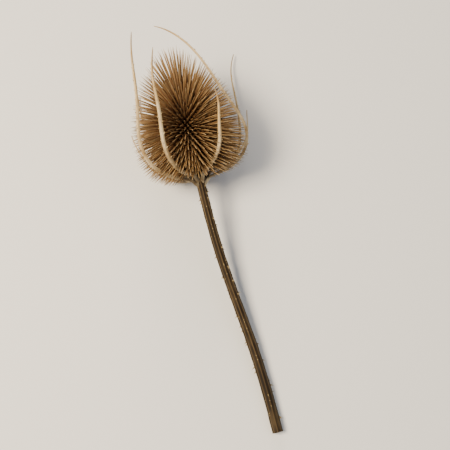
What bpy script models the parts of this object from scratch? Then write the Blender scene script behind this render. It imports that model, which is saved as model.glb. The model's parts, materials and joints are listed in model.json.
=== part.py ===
"""One cut and dried teasel seed head on its stem, lying on its side.

Metres, +Z up. The surface it lies on is z = 0 and the stem runs along +Y to the head. The head is an ovoid
core packed with stiff spines. Nine keeled bracts spring from the flared top of the stem, just under the
head, and curve up round it. The stem is ribbed and prickly, hollow, and ends in a plain cut.
"""

import bisect
import math
import random
from typing import NamedTuple

import bmesh
import bpy
from mathutils import Matrix, Vector

MM = 0.001
GOLDEN_ANGLE = math.radians(137.508)

# How the head lies: where its core starts, and its own directions along its axis, across to the right and up
HEAD_BASE = Vector((-5.4, 28.62, 21.45)) * MM
HEAD_RISE = math.radians(15.6)
HEAD_TURN = math.radians(3)
HEAD_ALONG = Vector((
    math.sin(HEAD_TURN) * math.cos(HEAD_RISE),
    math.cos(HEAD_TURN) * math.cos(HEAD_RISE),
    math.sin(HEAD_RISE),
))
HEAD_ACROSS = Vector((math.cos(HEAD_TURN), -math.sin(HEAD_TURN), 0))
HEAD_UP = HEAD_ACROSS.cross(HEAD_ALONG)

# The core that the spines stand on, widest nearer the stem, with both its ends cut a little flat
CORE_LENGTH = 46 * MM
CORE_RADIUS = 14.5 * MM
CORE_WIDEST = 0.4
CORE_FULLNESS = 0.72
CORE_START, CORE_END = 0.027, 0.996
CORE_SIDES = 16
CORE_RINGS = 9
AREA_STEPS = 400

# The spines: length and lean change from the base, by the widest part, to the tuft at the tip
SPINES = 840
SPINE_FIRST, SPINE_LAST = 0.022, 0.992
SPINE_LENGTH_BASE = 9 * MM
SPINE_LENGTH_SIDE = 14.4 * MM
SPINE_LENGTH_TUFT = 19.5 * MM
SPINE_BASE_ENDS, SPINE_TUFT_STARTS = 0.25, 0.58
SPINE_LEAN_BASE = math.radians(-30)
SPINE_LEAN_POWER = 2
SPINE_RADIUS = 0.78 * MM
SPINE_ROOT_DEPTH = 1.4 * MM
SPINE_SPREAD = math.radians(3)
SPINE_UNEVEN = 0.07
SPINE_SEED = 11

# Where a bract passes, a spine turns aside, or is cut short if no turn clears it
SPINE_TURNS = [math.radians(a) for a in (0, 7, -7, 14, -14, 21, -21)]
SPINE_CUTS = (1, 0.85, 0.7, 0.55, 0.4)
SPINE_CLEARANCE = 0.55 * MM
SPINE_TESTED = (0.3, 0.45, 0.6, 0.75, 0.9, 1)

# The stem: its centre line climbs from lying flat at the cut to the head's own slope
STEM_LENGTH = 134 * MM
STEM_RADIUS_CUT = 2.5 * MM
STEM_RADIUS_NECK = 2.1 * MM
STEM_SIDES = 16
STEM_RINGS = 26
STEM_RIB = 0.07
STEM_SWAY = 2.4 * MM
FLARE_LENGTH = 9 * MM
FLARE_GROWTH = 2.2 * MM
HOLLOW_WALL = 1.05 * MM
HOLLOW_DEPTH = 7 * MM

# The stem's prickles stand on its ribs, closer together towards the head, and point back to the cut
PRICKLES = 46
PRICKLES_FIRST, PRICKLES_LAST = 0.02, 0.95
PRICKLES_CROWDING = 0.8
PRICKLE_LENGTH = (1.0 * MM, 2.1 * MM)
PRICKLE_RADIUS = 0.42 * MM
PRICKLE_BACK = math.radians(28)
PRICKLE_SUNK = 0.75
PRICKLE_SEED = 5

# What parts neighbours that touch
GAP = 0.35 * MM


class Bract(NamedTuple):
    """One bract's course: a heading of 0 is straight out from the head's axis, and 90 is along it."""

    root: float  # below the head's base
    azimuth: float  # degrees round the head's axis: 0 right, 90 up, 270 down
    length: float
    leaves: float  # the heading at its root, in degrees
    bends_to: float  # the heading after its bend
    curl: float  # a last bend inwards, or outwards where negative
    drift: float  # degrees round the axis, from root to tip


LOW_RING, HIGH_RING = 3.4 * MM, 1.5 * MM
BRACTS = (
    Bract(LOW_RING, 148, 92 * MM, 14, 100, 4, -4),
    Bract(LOW_RING, 10, 108 * MM, 8, 110, 42, 32),
    Bract(HIGH_RING, 118, 80 * MM, 9, 99, 8, -8),
    Bract(LOW_RING, 322, 88 * MM, 4, 78, -24, -8),
    Bract(LOW_RING, 234, 74 * MM, 2, 74, 6, 10),
    Bract(HIGH_RING, 64, 52 * MM, 16, 100, 14, -12),
    Bract(HIGH_RING, 196, 42 * MM, 14, 90, -8, 6),
    Bract(HIGH_RING, 282, 36 * MM, -2, 50, 0, 4),
    Bract(HIGH_RING, 352, 44 * MM, 12, 84, -16, -8),
)
BRACT_STRAIGHT = 3 * MM
BRACT_BEND = 44 * MM
BRACT_CURL_SHARE = 0.45
BRACT_WAVE, BRACT_SWAY = 5, 2.5
BRACT_WAVES = 1.7
BRACT_STEPS = 60
BRACT_RINGS = 18

# A bract's section is a kite: narrower at its very root, and half as deep at its tip
BRACT_HALF_WIDTH = 1.4 * MM
BRACT_TIP_HALF_WIDTH = 0.32 * MM
BRACT_TAPER = 0.85
BRACT_ROOT_WIDTH, BRACT_ROOT_ENDS = 0.8, 0.12
BRACT_KEEL = 0.85 * MM
BRACT_FACE = 0.35 * MM
BRACT_TIP_DEPTH = 0.5

# How softly a bract meets the surface, and how far it stays above it
BRACT_PRESS = 1.5 * MM
BRACT_LIFT = 0.9 * MM

# A bract's prickles take turns between its keel and its two edges, and point to its tip
BRACT_PRICKLE_STEP = 7.5 * MM
BRACT_PRICKLE_LENGTH = 1.25 * MM
BRACT_PRICKLE_SUNK = 0.4
BRACT_PRICKLED = 0.8

COLOURS = {
    "seed_head": ("#8a5427", 0.62),
    "stem": ("#6b5a42", 0.7),
    "bract": ("#c2a272", 0.6),
}


def clear_scene():
    """Removes what the scene starts with."""
    for thing in list(bpy.data.objects):
        bpy.data.objects.remove(thing)


def linear(colour):
    """An sRGB hex colour as a linear RGBA."""
    parts = [int(colour[i : i + 2], 16) / 255 for i in (1, 3, 5)]
    return [p / 12.92 if p <= 0.04045 else ((p + 0.055) / 1.055) ** 2.4 for p in parts] + [1]


def material(name):
    """The plain finish of one kind of piece."""
    colour, roughness = COLOURS[name]
    made = bpy.data.materials.get(name) or bpy.data.materials.new(name)
    made.use_nodes = True
    shader = made.node_tree.nodes["Principled BSDF"]
    shader.inputs["Base Color"].default_value = linear(colour)
    shader.inputs["Roughness"].default_value = roughness
    shader.inputs["Metallic"].default_value = 0
    return made


def face_out(mesh):
    """Turns the faces outwards."""
    if mesh.calc_volume(signed=True) < 0:
        bmesh.ops.reverse_faces(mesh, faces=mesh.faces)


def add_object(name, mesh, collection, finish):
    """Puts a bmesh into a new object of the collection."""
    data = bpy.data.meshes.new(name)
    mesh.to_mesh(data)
    mesh.free()
    data.materials.append(material(finish))
    made = bpy.data.objects.new(name, data)
    collection.objects.link(made)
    return made


def add_collection(name):
    """A new collection in the scene."""
    made = bpy.data.collections.new(name)
    bpy.context.scene.collection.children.link(made)
    return made


def fuse(body, collection):
    """Joins every object of the collection to the body with one Boolean, and removes them."""
    joined = body.modifiers.new("fused", "BOOLEAN")
    joined.operation = "UNION"
    joined.operand_type = "COLLECTION"
    joined.collection = collection
    joined.solver = "MANIFOLD"
    bpy.context.view_layer.update()
    solid = bpy.data.meshes.new_from_object(body.evaluated_get(bpy.context.evaluated_depsgraph_get()))
    body.modifiers.clear()
    body.data = solid
    for piece in list(collection.objects):
        bpy.data.objects.remove(piece)
    bpy.data.collections.remove(collection)


def shade(body):
    """Smooth shading that keeps the sharp edges."""
    body.data.shade_smooth()
    body.data.set_sharp_from_angle(angle=math.radians(35))


def unit_tube(sides, rings):
    """A closed tube of radius 1 from z = 0 to z = 1."""
    mesh = bmesh.new()
    bmesh.ops.create_cone(
        mesh, cap_ends=True, segments=sides, radius1=1, radius2=1, depth=1,
        matrix=Matrix.Translation((0, 0, 0.5)),
    )
    upright = [e for e in mesh.edges if abs(e.verts[0].co.z - e.verts[1].co.z) > 0.5]
    bmesh.ops.subdivide_edges(mesh, edges=upright, cuts=rings - 1)
    return mesh


def unit_needle():
    """A three-sided needle of radius 1 and length 1 along +Z, shared by every spine and prickle."""
    mesh = bmesh.new()
    bmesh.ops.create_cone(
        mesh, cap_ends=True, segments=3, radius1=1, radius2=0, depth=1,
        matrix=Matrix.Translation((0, 0, 0.5)),
    )
    data = bpy.data.meshes.new("needle")
    mesh.to_mesh(data)
    mesh.free()
    return data


def add_needle(needle, root, tip, radius, turn, collection):
    """Stands one needle from its sunk root to its tip."""
    made = bpy.data.objects.new("needle", needle)
    along = tip - root
    made.matrix_world = (
        Matrix.Translation(root)
        @ along.to_track_quat("Z", "Y").to_matrix().to_4x4()
        @ Matrix.Rotation(turn, 4, "Z")
        @ Matrix.Diagonal((radius, radius, along.length, 1))
    )
    collection.objects.link(made)


def mix(a, b, share):
    """The value this share of the way from a to b."""
    return a + (b - a) * share


def ease(share):
    """0 to 1 with a soft start and end."""
    share = min(1, max(0, share))
    return share * share * (3 - 2 * share)


def radial(azimuth):
    """The direction away from the head's axis at this azimuth."""
    return HEAD_ACROSS * math.cos(azimuth) + HEAD_UP * math.sin(azimuth)


def core_radius(share):
    """The core's radius at this share of its length."""
    along = mix(CORE_START, 1, share)
    power = math.log(0.5) / math.log(CORE_WIDEST)
    return CORE_RADIUS * max(0, math.sin(math.pi * along**power)) ** CORE_FULLNESS


def core_point(share, azimuth):
    """A point on the core."""
    return HEAD_BASE + HEAD_ALONG * (share * CORE_LENGTH) + radial(azimuth) * core_radius(share)


def core_shares(count):
    """Shares of the core's length that give this many spines the same area each."""
    area, total = [], 0
    for i in range(AREA_STEPS):
        low, high = i / AREA_STEPS, (i + 1) / AREA_STEPS
        slant = math.hypot(core_radius(high) - core_radius(low), CORE_LENGTH / AREA_STEPS)
        total += slant * core_radius((low + high) / 2)
        area.append(total)
    first = area[int(SPINE_FIRST * AREA_STEPS)]
    last = area[int(SPINE_LAST * AREA_STEPS)]
    wanted = [mix(first, last, (i + 0.5) / count) for i in range(count)]
    return [(bisect.bisect(area, a) + 0.5) / AREA_STEPS for a in wanted]


def spine_length(share):
    """Short at the base, even round the side, long in the tuft."""
    if share < SPINE_BASE_ENDS:
        return mix(SPINE_LENGTH_SIDE, SPINE_LENGTH_BASE, (1 - share / SPINE_BASE_ENDS) ** 2)
    if share > SPINE_TUFT_STARTS:
        rise = (share - SPINE_TUFT_STARTS) / (1 - SPINE_TUFT_STARTS)
        return mix(SPINE_LENGTH_SIDE, SPINE_LENGTH_TUFT, rise**2)
    return SPINE_LENGTH_SIDE


def spine_direction(share, azimuth, lean_by):
    """The spines lean more and more along the axis towards the tip."""
    lean = mix(SPINE_LEAN_BASE, math.pi / 2, share**SPINE_LEAN_POWER) + lean_by
    return radial(azimuth) * math.cos(lean) + HEAD_ALONG * math.sin(lean)


def pressed(point):
    """A spine's tip that would be under the surface is bent up onto it."""
    return Vector((point.x, point.y, max(0, point.z)))


def is_clear(root, tip, lines):
    """Whether the upper part of a spine keeps clear of every bract's centre line."""
    for share in SPINE_TESTED:
        point = root.lerp(tip, share)
        for line, widths in lines:
            for centre, width in zip(line, widths):
                if (point - centre).length < width + SPINE_CLEARANCE:
                    return False
    return True


def spine_tip(root, share, azimuth, lean_by, length, lines):
    """Where a spine ends, turned aside or cut short by the bracts, or None where there is no room."""
    near = [line for line in lines if min((root - centre).length for centre in line[0]) < 2 * length]
    for cut in SPINE_CUTS:
        for turn in SPINE_TURNS:
            along = spine_direction(share, azimuth + turn, lean_by)
            tip = pressed(root + along * length * cut)
            if is_clear(root, tip, near):
                return tip
    return None


def build_head(collection, needle, lines):
    """The ovoid core with its spines, set in a golden-angle spiral from the base to the tip."""
    mesh = unit_tube(CORE_SIDES, CORE_RINGS)
    for vert in mesh.verts:
        share = (1 - math.cos(math.pi * vert.co.z)) / 2
        azimuth = math.atan2(vert.co.y, vert.co.x)
        vert.co = core_point(min(share, CORE_END), azimuth)
    face_out(mesh)
    head = add_object("seed_head", mesh, collection, "seed_head")
    draw = random.Random(SPINE_SEED)
    spines = add_collection("spines")
    for i, share in enumerate(core_shares(SPINES)):
        azimuth = i * GOLDEN_ANGLE
        lean_by = draw.uniform(-SPINE_SPREAD, SPINE_SPREAD)
        length = spine_length(share) * draw.uniform(1 - SPINE_UNEVEN, 1 + SPINE_UNEVEN)
        surface = core_point(share, azimuth)
        tip = spine_tip(surface, share, azimuth, lean_by, length, lines)
        if tip is None:
            continue
        root = surface - (tip - surface).normalized() * SPINE_ROOT_DEPTH
        add_needle(needle, root, tip, SPINE_RADIUS, draw.uniform(0, math.tau), spines)
    fuse(head, spines)
    shade(head)


def stem_path():
    """Points and directions of the stem's centre line, from the cut end to the head."""
    step = STEM_LENGTH / STEM_RINGS
    point, line = HEAD_BASE - HEAD_ALONG * GAP, []
    for i in range(STEM_RINGS, -1, -1):
        share = i / STEM_RINGS
        rise = HEAD_RISE * share
        turn = HEAD_TURN + STEM_SWAY / STEM_LENGTH * math.tau * (math.cos(math.tau * share) - 1) / 2
        along = Vector((math.sin(turn) * math.cos(rise), math.cos(turn) * math.cos(rise), math.sin(rise)))
        line.append((point.copy(), along))
        point = point - along * step
    return line[::-1]


def flare(below):
    """How much thicker the stem is this far below its top."""
    return FLARE_GROWTH * max(0, 1 - below / FLARE_LENGTH) ** 2


def stem_radius(share):
    """The stem's mean radius at this share of its length from the cut."""
    return mix(STEM_RADIUS_CUT, STEM_RADIUS_NECK, share) + flare((1 - share) * STEM_LENGTH)


def stem_point(path, share, azimuth, out):
    """A point this far from the stem's centre line."""
    place = min(len(path) - 1.000001, max(0, share * (len(path) - 1)))
    i = int(place)
    centre = path[i][0].lerp(path[i + 1][0], place - i)
    along = path[i][1].lerp(path[i + 1][1], place - i).normalized()
    across = along.cross(Vector((0, 0, 1))).normalized()
    up = across.cross(along)
    return centre + (across * math.cos(azimuth) + up * math.sin(azimuth)) * out


def ribbed(azimuth):
    """Every other side of the stem stands out as a rib."""
    return 1 + STEM_RIB * math.cos(azimuth * STEM_SIDES / 2)


def build_stem(collection, needle):
    """The ribbed stem with its flared top, hollow cut end and prickles that point back to the cut."""
    path = stem_path()
    mesh = unit_tube(STEM_SIDES, STEM_RINGS)
    bottom = min(mesh.faces, key=lambda f: f.calc_center_median().z)
    for vert in mesh.verts:
        azimuth = math.atan2(vert.co.y, vert.co.x)
        out = stem_radius(vert.co.z) * ribbed(azimuth)
        vert.co = stem_point(path, vert.co.z, azimuth, out)
        vert.co.z = max(0, vert.co.z)
    face_out(mesh)
    mesh.normal_update()
    bmesh.ops.inset_region(mesh, faces=[bottom], thickness=HOLLOW_WALL)
    sunk = bmesh.ops.extrude_face_region(mesh, geom=[bottom])
    inner = [v for v in sunk["geom"] if isinstance(v, bmesh.types.BMVert)]
    bmesh.ops.translate(mesh, verts=inner, vec=path[0][1] * HOLLOW_DEPTH)
    bmesh.ops.delete(mesh, geom=[bottom], context="FACES_ONLY")
    stem = add_object("stem", mesh, collection, "stem")
    draw = random.Random(PRICKLE_SEED)
    prickles = add_collection("prickles")
    for i in range(PRICKLES):
        share = mix(PRICKLES_FIRST, PRICKLES_LAST, ((i + draw.random()) / PRICKLES) ** PRICKLES_CROWDING)
        rib = draw.randrange(STEM_SIDES // 2)
        azimuth = rib * 2 * math.tau / STEM_SIDES
        surface = stem_radius(share)
        length = draw.uniform(*PRICKLE_LENGTH)
        root = stem_point(path, share, azimuth, surface * PRICKLE_SUNK)
        reach = surface + length * math.cos(PRICKLE_BACK)
        back = length * math.sin(PRICKLE_BACK) / STEM_LENGTH
        tip = stem_point(path, share - back, azimuth, reach)
        if tip.z > GAP and share - back > 0:
            add_needle(needle, root, tip, PRICKLE_RADIUS, 0, prickles)
    fuse(stem, prickles)
    shade(stem)


def bract_line(bract):
    """Centre points, directions and outward normals of one bract, from its root to its tip."""
    out, along = (STEM_RADIUS_NECK + flare(bract.root)) * (1 + STEM_RIB) + GAP, -bract.root
    step = bract.length / BRACT_STEPS
    line = []
    for i in range(BRACT_STEPS + 1):
        share = i / BRACT_STEPS
        bend = ease((i * step - BRACT_STRAIGHT) / min(BRACT_BEND, bract.length - BRACT_STRAIGHT))
        late = max(0, share - (1 - BRACT_CURL_SHARE)) / BRACT_CURL_SHARE
        # Its own azimuth starts each bract's waves at another point
        wave = share * math.sin(math.tau * BRACT_WAVES * share + bract.azimuth)
        heading = mix(bract.leaves, bract.bends_to, bend) + bract.curl * late**1.5 + BRACT_WAVE * wave
        heading = math.radians(heading)
        away = radial(math.radians(bract.azimuth + bract.drift * share**2 + BRACT_SWAY * wave))
        centre = HEAD_BASE + away * out + HEAD_ALONG * along
        direction = away * math.cos(heading) + HEAD_ALONG * math.sin(heading)
        normal = away * math.sin(heading) - HEAD_ALONG * math.cos(heading)
        line.append((lifted(centre), direction, normal))
        out += step * math.cos(heading)
        along += step * math.sin(heading)
    return line


def lifted(point):
    """A bract that would pass through the surface is bent up to lie on it."""
    height = point.z - BRACT_LIFT
    rise = (height + math.sqrt(height * height + 4 * BRACT_PRESS * BRACT_PRESS)) / 2
    return Vector((point.x, point.y, BRACT_LIFT + rise))


def bract_width(share):
    """Half the bract's width: narrow at the root, then tapering to a fine point."""
    swell = mix(BRACT_ROOT_WIDTH, 1, ease(share / BRACT_ROOT_ENDS))
    return mix(BRACT_TIP_HALF_WIDTH, BRACT_HALF_WIDTH * swell, (1 - share) ** BRACT_TAPER)


def build_bract(name, bract, collection, needle):
    """One keeled blade with small prickles down its keel and edges."""
    line = bract_line(bract)
    mesh = unit_tube(4, BRACT_RINGS)
    for vert in mesh.verts:
        share = vert.co.z
        azimuth = math.atan2(vert.co.y, vert.co.x)
        centre, direction, normal = line[round(share * BRACT_STEPS)]
        side = direction.cross(normal).normalized()
        deep = (BRACT_KEEL if math.sin(azimuth) > 0 else BRACT_FACE) * mix(1, BRACT_TIP_DEPTH, share)
        vert.co = centre + side * bract_width(share) * math.cos(azimuth) + normal * deep * math.sin(azimuth)
        vert.co.z = max(0, vert.co.z)
    face_out(mesh)
    blade = add_object(name, mesh, collection, "bract")
    prickles = add_collection(name + "_prickles")
    count = int(bract.length / BRACT_PRICKLE_STEP)
    for i in range(1, count):
        share = i / count * BRACT_PRICKLED
        centre, direction, normal = line[round(share * BRACT_STEPS)]
        side = direction.cross(normal).normalized()
        edge = bract_width(share)
        out, reach = ((normal, BRACT_KEEL), (side, edge), (-side, edge))[i % 3]
        root = centre + out * reach * BRACT_PRICKLE_SUNK
        tip = centre + out * (reach + BRACT_PRICKLE_LENGTH) + direction * BRACT_PRICKLE_LENGTH
        if tip.z > 0:
            add_needle(needle, root, tip, PRICKLE_RADIUS, 0, prickles)
    fuse(blade, prickles)
    shade(blade)


def main():
    """Builds the head, the stem and the bracts."""
    clear_scene()
    teasel = add_collection("teasel_seed_head")
    needle = unit_needle()
    lines = []
    for bract in BRACTS:
        line = bract_line(bract)
        widths = [bract_width(i / BRACT_STEPS) for i in range(len(line))]
        lines.append(([centre for centre, _, _ in line], widths))
    build_head(teasel, needle, lines)
    build_stem(teasel, needle)
    for i, bract in enumerate(BRACTS):
        build_bract(f"bract_{i + 1}", bract, teasel, needle)


main()
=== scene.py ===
"""A dried teasel seed head on its cut stem, lying on a pale floor under soft studio light.

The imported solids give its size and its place, and each of them is replaced here by finer pieces of the same
form: the head's receptacle, the spines that crowd on it and the seeds between them; the ribbed stem with its
pithy hollow and its prickles; and nine channelled, prickly bracts. Metres, +Z up, and the stem runs along +Y
to the head.
"""

import bisect
import json
import logging
import math
import random
from collections.abc import Iterator
from dataclasses import dataclass, field
from enum import Enum

import bmesh
import bpy
from mathutils import Matrix, Vector, kdtree, noise

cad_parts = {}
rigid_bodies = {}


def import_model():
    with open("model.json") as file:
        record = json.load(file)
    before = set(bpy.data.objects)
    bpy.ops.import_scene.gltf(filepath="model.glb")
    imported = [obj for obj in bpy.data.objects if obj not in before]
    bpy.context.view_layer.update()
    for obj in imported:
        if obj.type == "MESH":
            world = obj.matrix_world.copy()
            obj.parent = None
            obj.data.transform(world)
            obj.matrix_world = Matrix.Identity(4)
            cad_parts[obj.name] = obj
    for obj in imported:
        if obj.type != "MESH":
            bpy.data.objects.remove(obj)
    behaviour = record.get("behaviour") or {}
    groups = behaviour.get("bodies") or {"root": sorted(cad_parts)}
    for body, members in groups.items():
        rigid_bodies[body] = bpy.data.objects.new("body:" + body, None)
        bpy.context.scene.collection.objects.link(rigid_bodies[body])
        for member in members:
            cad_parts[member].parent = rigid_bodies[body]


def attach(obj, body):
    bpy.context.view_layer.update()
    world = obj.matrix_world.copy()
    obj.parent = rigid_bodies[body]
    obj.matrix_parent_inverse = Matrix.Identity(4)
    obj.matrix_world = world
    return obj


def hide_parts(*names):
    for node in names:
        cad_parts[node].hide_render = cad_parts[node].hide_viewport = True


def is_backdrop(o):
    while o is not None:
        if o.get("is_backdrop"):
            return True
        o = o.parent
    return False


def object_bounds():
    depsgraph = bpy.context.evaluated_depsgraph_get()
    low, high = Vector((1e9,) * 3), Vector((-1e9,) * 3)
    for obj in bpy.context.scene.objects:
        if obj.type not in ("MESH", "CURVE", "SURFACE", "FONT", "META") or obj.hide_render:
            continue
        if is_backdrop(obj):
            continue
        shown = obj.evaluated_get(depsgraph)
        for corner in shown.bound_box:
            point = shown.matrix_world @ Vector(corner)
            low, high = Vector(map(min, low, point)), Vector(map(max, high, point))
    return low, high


log = logging.getLogger("teasel")

MM = 0.001
# How much shorter the fibre attribute is along a piece than across it
LENGTHWISE = 0.03
# How far the darkest and the brightest spine lie apart in the fibre pattern, so that no two are alike
TINT_APART = 97 * MM
GOLDEN_ANGLE = math.radians(137.508)
# Edges that turn by more than this are drawn sharp
SHARP_ANGLE = math.radians(50)
# A prickle's sides and rings, the size of its point, and how hollow its flanks are
PRICKLE_SIDES = 6
PRICKLE_RINGS = 4
PRICKLE_POINT = 0.04
PRICKLE_HOLLOW = 1.6
# How much deeper than wide its foot is, and how far it bows as a share of its length
PRICKLE_DEEP = 1.5
PRICKLE_BOW = 0.12


def mix(a: float, b: float, share: float) -> float:
    """The value this share of the way from a to b."""
    return a + (b - a) * share


def ease(share: float) -> float:
    """0 to 1 with a soft start and end."""
    share = min(1, max(0, share))
    return share * share * (3 - 2 * share)


def heading(azimuth: float, elevation: float) -> Vector:
    """Turns two angles to a direction.

    Args:
        azimuth: The angle round from +Y towards +X, in radians.
        elevation: The angle above the floor, in radians.

    Returns:
        The direction, with a length of 1.
    """
    flat = math.cos(elevation)
    return Vector((math.sin(azimuth) * flat, math.cos(azimuth) * flat, math.sin(elevation)))


def linear(colour: str) -> tuple[float, float, float, float]:
    """Turns an sRGB colour to linear.

    Args:
        colour: "#rrggbb".

    Returns:
        Red, green, blue and an alpha of 1.
    """
    parts = [int(colour[i : i + 2], 16) / 255 for i in (1, 3, 5)]
    red, green, blue = (p / 12.92 if p <= 0.04045 else ((p + 0.055) / 1.055) ** 2.4 for p in parts)
    return red, green, blue, 1


def add_node(tree: bpy.types.NodeTree, kind: str, inputs: dict | None = None, **settings) -> bpy.types.Node:
    """Adds a shader node with its settings and links.

    Args:
        tree: The material's node tree.
        kind: The node's type name.
        inputs: Input sockets by name or index, each with a value or with the output that it is linked to.
        settings: Properties of the node. stops are a colour ramp's (position, "#rrggbb") pairs.

    Returns:
        The node.
    """
    node = tree.nodes.new(kind)
    for place, colour in settings.pop("stops", ()):
        ramp = node.color_ramp.elements
        stop = next((s for s in ramp if abs(s.position - place) < 1e-4), None) or ramp.new(place)
        stop.color = linear(colour)
    for name, value in settings.items():
        setattr(node, name, value)
    for name, value in (inputs or {}).items():
        if isinstance(value, bpy.types.NodeSocket):
            tree.links.new(value, node.inputs[name])
        else:
            node.inputs[name].default_value = value
    return node


class Grain(Enum):
    """Real sizes of the patterns in dry plant tissue, in millimetres.

    FIBRE is drawn coarser than life, where a fibre is 0.05 mm, so that it shows.
    """

    FIBRE = 0.25
    STREAK = 0.8
    BLOTCH = 7

    @property
    def scale(self) -> float:
        """The noise texture's scale on coordinates in metres."""
        return 1 / (self.value * MM)


@dataclass(frozen=True)
class PlantFinish:
    """Dry, woody plant tissue: dull and slightly waxy, darker in its depths, which is partly painted shade,
    and paler where it is weathered.

    Three attributes of the mesh drive it: "along" runs from 0 at a piece's root to 1 at its tip, "tint"
    sets each spine, seed or prickle apart from its neighbours, and "fibre" is the place on a piece in metres
    with its length shortened, so that a pattern on it is drawn out lengthwise as fibres are.
    """

    name: str
    stops: tuple[tuple[float, str], ...]
    weathered: str
    weathering: float
    shade: str
    roughness: float
    gloss: float
    relief: float
    relief_strength: float = 0.6
    roughness_varies: tuple[float, float] = (-0.1, 0.12)
    tint_values: tuple[float, float] = (0.62, 1.35)
    refraction: float = 1.45
    noise_detail: float = 3

    def build(self) -> bpy.types.Material:
        """Makes the finish's material.

        Returns:
            The material.
        """
        made = bpy.data.materials.new(self.name)
        made.use_nodes = True
        tree = made.node_tree
        tree.nodes.clear()
        place = add_node(tree, "ShaderNodeTexCoord").outputs["Object"]
        fibre = add_node(tree, "ShaderNodeAttribute", attribute_name="fibre").outputs["Vector"]
        along = add_node(tree, "ShaderNodeAttribute", attribute_name="along")
        tint = add_node(tree, "ShaderNodeAttribute", attribute_name="tint")
        noises = {}
        for grain, vector in ((Grain.FIBRE, fibre), (Grain.STREAK, fibre), (Grain.BLOTCH, place)):
            inputs = {"Vector": vector, "Scale": grain.scale, "Detail": self.noise_detail}
            noises[grain] = add_node(tree, "ShaderNodeTexNoise", inputs).outputs["Fac"]
        ramp = add_node(tree, "ShaderNodeValToRGB", {"Fac": along.outputs["Fac"]}, stops=self.stops)
        colour = ramp.outputs["Color"]
        # Each pattern's noise levels where it starts and where it is full, its strength there and its colour
        layers = (
            (Grain.BLOTCH, 0.4, 0.7, self.weathering, self.weathered),
            (Grain.STREAK, 0.62, 0.38, 0.4, self.shade),
            (Grain.FIBRE, 0.56, 0.4, 0.35, self.shade),
        )
        for grain, clear, full, most, over in layers:
            limits = {"Value": noises[grain], "From Min": clear, "From Max": full, "To Max": most}
            cover = add_node(tree, "ShaderNodeMapRange", limits).outputs["Result"]
            # A Mix node's colour sockets are 6 and 7, and its colour result is 2
            layer = {"Factor": cover, 6: colour, 7: linear(over)}
            colour = add_node(tree, "ShaderNodeMix", layer, data_type="RGBA").outputs[2]
        dark, pale = self.tint_values
        limits = {"Value": tint.outputs["Fac"], "To Min": dark, "To Max": pale}
        bright = add_node(tree, "ShaderNodeMapRange", limits).outputs["Result"]
        inputs = {"Color": colour, "Value": bright}
        tinted = add_node(tree, "ShaderNodeHueSaturation", inputs).outputs["Color"]
        smoothest, roughest = (self.roughness + varies for varies in self.roughness_varies)
        limits = {"Value": noises[Grain.FIBRE], "To Min": smoothest, "To Max": roughest}
        rough = add_node(tree, "ShaderNodeMapRange", limits).outputs["Result"]
        inputs = {"Height": noises[Grain.FIBRE], "Strength": self.relief_strength, "Distance": self.relief}
        bump = add_node(tree, "ShaderNodeBump", inputs).outputs["Normal"]
        inputs = {"Base Color": tinted, "Roughness": rough, "Normal": bump}
        inputs |= {"IOR": self.refraction, "Specular IOR Level": self.gloss}
        shader = add_node(tree, "ShaderNodeBsdfPrincipled", inputs).outputs["BSDF"]
        add_node(tree, "ShaderNodeOutputMaterial", {"Surface": shader})
        return made


# Woody receptacular bracts: rust brown with a faint shine, darker red brown towards their roots where they
# crowd, which is partly their own colour and partly painted shade, pale at the tips
SPINE_FINISH = PlantFinish(
    name="dry_teasel_spine",
    # The dark first stops paint shade among the crowded spines' feet, as well as their own darker foot
    stops=((0, "#441f1a"), (0.25, "#69442d"), (0.5, "#916e43"), (0.8, "#a78453"), (1, "#d2b98f")),
    weathered="#a28f68",
    weathering=0.35,
    shade="#5c3e29",
    roughness=0.5,
    gloss=0.2,
    relief=0.05 * MM,
)
# The spongy receptacle, which is only seen between the spines' feet
RECEPTACLE_FINISH = PlantFinish(
    name="dry_teasel_receptacle",
    stops=((0, "#2a1a10"), (1, "#3a2412")),
    weathered="#4a3620",
    weathering=0.5,
    shade="#180e08",
    roughness=0.85,
    gloss=0.15,
    relief=0.15 * MM,
)
# Ribbed seeds in the spines' axils: dull grey brown
SEED_FINISH = PlantFinish(
    name="dry_teasel_seed",
    stops=((0, "#3a2013"), (0.7, "#63401f"), (1, "#86663c")),
    weathered="#77603f",
    weathering=0.4,
    shade="#33190d",
    roughness=0.75,
    gloss=0.2,
    relief=0.08 * MM,
)
# Straw: olive brown and thick at the root, bleached cream further out. The dark root is partly painted shade
# and the bright cream middle partly a painted highlight
BRACT_FINISH = PlantFinish(
    name="dry_teasel_bract",
    # From root to tip: its own straw colour, with painted shade at the dark root and a painted highlight in
    # the bright middle
    stops=(
        (0, "#3c321f"),
        (0.18, "#5b4b2d"),
        (0.36, "#a08352"),
        (0.52, "#d3b681"),
        (0.8, "#cdac72"),
        (1, "#86643a"),
    ),
    weathered="#ecd9ae",
    weathering=0.6,
    shade="#785934",
    roughness=0.55,
    gloss=0.4,
    relief=0.08 * MM,
)
# Weathered stalk: grey brown with olive in it, smooth on the ribs and dull in the grooves. Its ramp from dark
# grooves to pale ribs is partly its own colour, partly painted shade in the grooves and a painted highlight
# on the ribs
STEM_FINISH = PlantFinish(
    name="dry_teasel_stem",
    stops=((0, "#19130c"), (0.5, "#35291a"), (1, "#6b5639")),
    weathered="#57462d",
    weathering=0.5,
    shade="#20180f",
    roughness=0.6,
    gloss=0.12,
    relief=0.1 * MM,
)
# Prickles on the stalk: its own brown at the foot, horny and paler at the point
PRICKLE_FINISH = PlantFinish(
    name="dry_teasel_prickle",
    stops=((0, "#4a3b26"), (0.5, "#98804f"), (1, "#e2d0a4")),
    weathered="#b09868",
    weathering=0.4,
    shade="#33271a",
    roughness=0.5,
    gloss=0.4,
    relief=0.05 * MM,
)
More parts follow.
